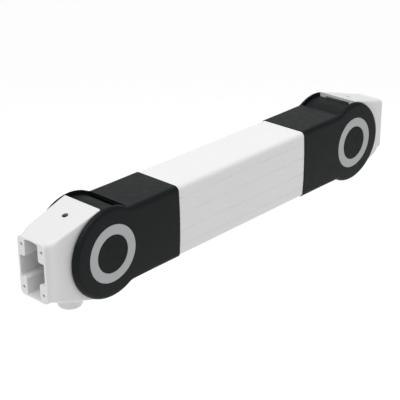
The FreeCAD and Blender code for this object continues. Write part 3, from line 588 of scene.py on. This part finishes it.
# %% Lines of the head
head_width = (head_high[1] - head_low[1]) / 2
lip_height = head_high[2]
lip_x, foot_x, collar_x = 9 * MM, 73 * MM, 79.5 * MM
face_height, collar_rise, slope_foot = 36 * MM, 0.2 * MM, 1.5 * MM
foot_height = face_height + slope_foot
lead = 20 * MM
fall = (lip_height - foot_height) / (foot_x - lip_x)


def rounded_line(x, stations, values):
    """A broken line through (station, value), in mm, at x in metres; a mean over 4 mm rounds it."""
    reach = np.linspace(-2, 2, 17)
    return np.interp(x[:, None] / MM + reach, stations, values).mean(axis=1) * MM


def crest(x):
    """Half height of the head along X: one slope, led on past the lip, then the collar."""
    stations = np.array([lip_x - lead, foot_x, collar_x, head_reach]) / MM
    values = np.array([lip_height + fall * lead, foot_height, face_height + collar_rise, face_height]) / MM
    return rounded_line(x, stations, values)


def waist(x):
    """Half width of the head along X: full at the lip, drawn in a little by the foot, then the collar."""
    full = head_width / MM
    return rounded_line(x, [0, 15, 66, 73, 79.5, 85], [full, full, full - 2.4, full - 3.4, 23.1, 22.8])


def arch_rows(x, width, height, corner, side_z):
    """Quarter sections at each x, from mid height over the corner to mid width.

    The side is straight, the corner is a quarter circle round (width - corner, height - corner), and the
    top is straight again."""
    bend = np.linspace(0, np.pi / 2, 7)[1:]
    width, height, corner = (np.broadcast_to(value, x.shape)[:, None] for value in (width, height, corner))
    corner_y = width - corner + corner * np.cos(bend)
    corner_z = height - corner + corner * np.sin(bend)
    top_y = (width - corner) * np.linspace(0.8, 0, 11)
    y = np.concatenate([np.broadcast_to(width, side_z.shape), corner_y, top_y], axis=1)
    z = np.concatenate([side_z, corner_z, np.broadcast_to(height, top_y.shape)], axis=1)
    return np.stack([np.broadcast_to(x[:, None], y.shape), y, z], axis=2)


print("top slopes %.1f degrees, head %.1f mm wide at the lip" % (
    math.degrees(math.atan(fall)), head_width * 2 / MM))

# %% [markdown]
# Two grids make the casting: the shell outside and the room inside. Their rows are close together where a
# round feature will pass through and at the collar, and far apart on the straight slope. The shell ends in
# a small roll at the mounting face.

# %% Shell and room of the head
face_roll = 0.8 * MM
window_x = boss_x + np.linspace(-24, 19.5, 25) * MM
roll = np.linspace(0, np.pi / 2, 6)[1:]
straight_x = np.concatenate([
    np.array([9, 9.4, 10]) * MM, window_x, np.array([57, 61]) * MM,
    np.linspace(64 * MM, head_reach - face_roll, 27)])
shell_x = np.concatenate([straight_x, head_reach - face_roll * (1 - np.sin(roll))])
shell_in = np.concatenate([[0.4 * MM], np.zeros(len(straight_x) - 1), face_roll * (1 - np.cos(roll))])
shell_corner = np.interp(shell_x / MM, [9, 66, 76, 85], [1.5, 3.5, 6.5, 5.5]) * MM
half_up = crest(shell_x) - shell_in
shell = arch_rows(shell_x, waist(shell_x) - shell_in, half_up, shell_corner,
                  (half_up - shell_corner)[:, None] * np.linspace(0, 1, 7))
wall, room_corner = 4 * MM, 2 * MM
hollow_width = 19.8 * MM
throat_x = head_reach - 30 * MM
ledge = 12 * MM
room_x = np.concatenate([np.array([9, 10]) * MM, window_x, [throat_x]])
room_up = crest(room_x) - wall
room_side = np.concatenate([
    np.broadcast_to(ledge * np.array([0, 1 / 3, 2 / 3]), (len(room_x), 3)),
    ledge + (room_up - room_corner - ledge)[:, None] * np.linspace(0, 1, 4)], axis=1)
room = arch_rows(room_x, hollow_width, room_up, room_corner, room_side)
print("head section of", shell.shape[1], "points a quarter, window rows from %.1f mm" % (window_x[0] / MM))

# %% [markdown]
# Two round features pass through the walls. On top is a small hole for a hex key that reaches the load
# spindle, with a slight dimple round it. Underneath is a round boss with a soft lower edge, which blends
# into the underside and most of all towards the pivot. Both start from a rectangular window left open in
# the wall: rings of points lead from its border to the circle.

# %% Windows in the walls


window_rows = len(window_x) - 1
window_columns = 11


def windowed(points, first):
    """A wall grid without the faces of its window, which starts at row first and runs to mid width."""
    rows, columns = points.shape[:2]
    faces = grid_faces(rows, columns).reshape(rows - 1, columns - 1, 4)
    keep = np.ones((rows - 1, columns - 1), bool)
    keep[first:first + window_rows, columns - window_columns:] = False
    return points.reshape(-1, 3), faces[keep]


def border(points, first):
    """The border points of that window, from its outboard middle round to its inboard middle."""
    last = first + window_rows
    outboard = points[last, :-window_columns - 1:-1]
    along = points[first + 1:last, -window_columns][::-1]
    return np.concatenate([outboard, along, points[first, -window_columns:]])


shell_window, room_window = 3, 2
outer_border, inner_border = border(shell, shell_window), border(room, room_window)


def ring(radius, height, around, stretch=0):
    """Half a circle round the boss axis, with one point towards each border point; height may follow x.

    The radius grows towards the pivot by stretch times (1 - cos angle) / 2."""
    angle = np.arctan2(around[:, 1], around[:, 0] - boss_x)
    radius = radius + stretch * (1 - np.cos(angle)) / 2
    x = boss_x + radius * np.cos(angle)
    z = height(x) if callable(height) else np.full_like(x, height)
    return np.column_stack([x, radius * np.sin(angle), z])


def above(rise):
    """A height that follows the slope of the head at a fixed rise, or below it where negative."""
    return lambda x: crest(x) + rise


print(len(outer_border), "points round a window")

# %% [markdown]
# The key hole opens out below its rim, as a cast hole does on its inner side. That keeps its wall out of
# the light, so it looks as dark as a real one. The boss goes the other way: out from the underside in a
# wide blend, round its soft lower edge, and back up its bore.

# %% Key hole and boss
key_hole = 3.6 * MM
key_rings = [(0.5, 0), (0.2, -0.08), (0, -0.35), (0.4, -1.2)]
key_grid = np.stack(
    [outer_border]
    + [ring(key_hole + wide * MM, above(rise * MM), outer_border) for wide, rise in key_rings]
    + [ring(key_hole * 1.5, above(-wall), outer_border), ring(key_hole * 1.9, above(-wall), inner_border)]
    + [inner_border])
boss_radius, boss_bore, soft = 14.5 * MM, 9.1 * MM, 3.5 * MM
boss_drop = -head_low[2]
foot_rings = [(4.8, 4.4, 0), (3, 3, 0.9), (1.4, 1.7, 2.6), (0.4, 0.6, 5), (0, 0, 7.5)]
soft_turn = np.linspace(0, np.pi / 2, 6)
boss_grid = np.stack(
    [outer_border]
    + [ring(boss_radius + wide * MM, above(rise * MM), outer_border, stretch * MM)
       for wide, stretch, rise in foot_rings]
    + [ring(boss_radius - soft * (1 - math.cos(t)), boss_drop - soft * (1 - math.sin(t)), outer_border)
       for t in soft_turn]
    + [ring(boss_bore, boss_drop, outer_border), ring(boss_bore, above(-wall), outer_border),
       ring(boss_bore * 1.2, above(-wall), inner_border), inner_border])
print("boss hangs %.1f mm below the pivot" % (boss_drop / MM))

# %% [markdown]
# The flange is the flat end of the head. Its middle is the cable mouth, whose top and bottom are gently
# arched. Four bosses with rounded corners narrow it, one in each corner, and each has a screw hole with a
# small countersink. A flat face with such an outline can't be a grid, so it is triangulated, with the
# screw hole left out.

# %% Outline of the mouth


def bend_points(centre, radius, start, end, count=6):
    """Points of an arc in (y, z), angles in degrees."""
    angle = np.radians(np.linspace(start, end, count))
    return np.column_stack([centre[0] + radius * np.cos(angle), centre[1] + radius * np.sin(angle)])


boss_side, mouth_edge, arch_rise = 10.8, 33.2 * MM, 1.4 * MM
mouth_y = np.linspace(0, boss_side, 9) * MM
mouth_z = mouth_edge + arch_rise * (1 - (mouth_y / mouth_y[-1]) ** 2)
mouth_top = np.column_stack([mouth_y, mouth_z])
mouth_side = np.column_stack([np.full(4, hollow_width), ledge * np.array([1, 2 / 3, 1 / 3, 0])])
mouth = np.concatenate([
    mouth_top,
    bend_points((13.3 * MM, 15.5 * MM), 2.5 * MM, 180, 270),
    bend_points((18.8 * MM, 12 * MM), 1 * MM, 90, 0)[:-1],
    mouth_side,
])
print("mouth %.1f mm high in the middle" % (mouth_z[0] * 2 / MM))

# %% [markdown]
# Between the flange and the room there is a step, the inner end of the bosses. The face and the step are
# flat pieces, the mouth is its outline carried inwards, and the screw holes are profiles turned round their
# own axes.

# %% Flange, step and screw holes


def flat(border_points, x, hole=None):
    """A flat piece square to X inside a border, given as (y, z), with an optional round hole left open."""
    points = [Vector(point) for point in border_points]
    edges = []
    if hole is not None:
        start = len(points)
        points += [Vector(point) for point in hole]
        edges = [(start + i, start + (i + 1) % len(hole)) for i in range(len(hole))]
    found, _, triangles, *_ = delaunay_2d_cdt(points, edges, [list(range(len(border_points)))], 1, 1e-7)
    found = np.array([tuple(point) for point in found])
    triangles = np.array(triangles)
    if hole is not None:
        middle = hole.mean(axis=0)
        radius = np.linalg.norm(hole[0] - middle)
        keep = np.linalg.norm(found[triangles].mean(axis=1) - middle, axis=1) > radius
        triangles = triangles[keep]
    return np.column_stack([np.full(len(found), x), found]), triangles


def extruded(loop, stations):
    """A loop of (y, z) carried along X through the stations."""
    return np.stack([np.column_stack([np.full(len(loop), x), loop]) for x in stations])


screw_at = np.array([16.5, 26]) * MM
angle = np.linspace(0, 2 * np.pi, 29)
circle = np.column_stack([np.cos(angle), np.sin(angle)])
sink, screw_radius, screw_deep = 2.35, 2.0, 16
screw_steps = [(sink, 0), (screw_radius, sink - screw_radius), (screw_radius, screw_deep), (0, screw_deep)]
screw_hole = np.stack([
    np.column_stack([np.full(len(circle), head_reach - deep * MM), screw_at + circle * radius * MM])
    for radius, deep in screw_steps])
face = flat(np.concatenate([shell[-1, :, 1:], mouth]), head_reach, screw_at + circle[:-1] * sink * MM)
shelf = flat(np.concatenate([mouth[:-3], room[-1, 4:, 1:]]), throat_x)
mouth_walls = extruded(mouth, [head_reach, head_reach - 10 * MM, throat_x])
print(len(face[1]), "triangles in a quarter of the flange")

# %% [markdown]
# Inside, two lugs carry the bushes of the pivot. Each is a plain disc with a bore, a hair proud of the
# inner wall. With the mirrored quarters they make one casting. The two heads are the same casting, like
# the forks.

# %% Build the heads
lug_bore, lug_radius, lug_inside, lug_outside = 9.55, 47.5, 19.75, 28.4
lug_steps = [
    (lug_bore, lug_inside), (lug_radius, lug_inside), (lug_radius, lug_outside), (lug_bore, lug_outside),
    (lug_bore, lug_inside)]
sweep = np.linspace(0, 2 * np.pi, 97)
lug = patch(np.stack([
    np.column_stack([radius * MM * np.cos(sweep), np.full(len(sweep), y * MM), radius * MM * np.sin(sweep)])
    for radius, y in lug_steps]))
common = [patch(grid) for grid in (np.stack([shell[0], room[0]]), screw_hole, mouth_walls)]
common += [windowed(shell, shell_window), windowed(room, room_window), face, shelf]
upper = common + [patch(key_grid)]
lower = [mirrored(part, 2) for part in common + [patch(boss_grid)]]
head_half = upper + lower + [lug]
head_parts = head_half + [mirrored(part, 1) for part in head_half]
for end in ("rear", "front"):
    head = build(end + "_head_casting", head_parts, end + "_head", [end + "_head"],
                 end_place(end))
    head.data.materials.append(finishes["cast_white"])

# %% [markdown]
# The camera stands on the near side, behind the rear head, and looks down on the arm. The lens is long, as
# for a product on a page, so the two ends of the arm keep their size. A direction and a distance from a
# target near the middle of the arm place it, which is easier to adjust than a position.

# %% Camera
azimuth, elevation, roll = math.radians(-47.11), math.radians(24.27), math.radians(-0.45)
target = Vector((0.2672, 0.0, -0.0066))
distance = 1.4838
away = Vector((math.sin(azimuth) * math.cos(elevation), -math.cos(azimuth) * math.cos(elevation),
               math.sin(elevation)))
camera_data = bpy.data.cameras.new("camera")
camera_data.sensor_width = 36
camera_data.lens = 108.41
camera = bpy.data.objects.new("camera", camera_data)
camera.location = target + away * distance
camera.rotation_euler = away.to_track_quat("Z", "Y").to_euler()
camera.rotation_euler.rotate_axis("Z", roll)
bpy.context.scene.collection.objects.link(camera)
bpy.context.scene.camera = camera
print("camera at", [round(number, 3) for number in camera.location])

# %% [markdown]
# The scene is a plain studio. A pale floor lies far below the arm, so that no shadow shows and the sides
# get light from underneath.

# %% Floor
floor_mesh = bpy.data.meshes.new("floor")
reach, depth = 30.0, -1.2
floor_corners = [(x * reach, y * reach, depth) for x, y in ((-1, -1), (1, -1), (1, 1), (-1, 1))]
floor_mesh.from_pydata(floor_corners, [], [(0, 1, 2, 3)])
floor = bpy.data.objects.new("floor", floor_mesh)
floor_mesh.materials.append(coat("floor_paint", (0.885, 0.885, 0.885), 0.8, 0.02, 5, 0.02, tone=0.005))
bpy.context.scene.collection.objects.link(floor)
print("floor %.1f m below the pivots" % -depth)

# %% [markdown]
# The surround is an even, dim white. A sun with a very wide disc stands for a large soft box overhead: it
# lights the top of the arm and leaves no hard shadow. A weak area light beyond the front head grazes the
# top faces and gives the black sleeve its sheen.

# %% Light
world = bpy.data.worlds.new("surround")
bpy.context.scene.world = world
world.use_nodes = True
world.node_tree.nodes["Background"].inputs["Color"].default_value = (1, 1, 1, 1)
world.node_tree.nodes["Background"].inputs["Strength"].default_value = 0.32

sky = bpy.data.lights.new("sky", "SUN")
sky.energy = 2.65
sky.angle = math.radians(70)
sky_light = bpy.data.objects.new("sky", sky)
sun_from = Vector((-0.20, -0.02, 0.72))
sky_light.rotation_euler = sun_from.to_track_quat("Z", "Y").to_euler()
bpy.context.scene.collection.objects.link(sky_light)
back = bpy.data.lights.new("back", "AREA")
back.energy = 8
back.size = 2.0
back_light = bpy.data.objects.new("back", back)
back_light.location = (2.3, 1.9, 1.35)
back_light.rotation_euler = (back_light.location - target).to_track_quat("Z", "Y").to_euler()
bpy.context.scene.collection.objects.link(back_light)
bpy.context.scene.view_settings.view_transform = "Standard"
print("sun", round(sky.energy, 2), "and", back.energy, "W from behind")
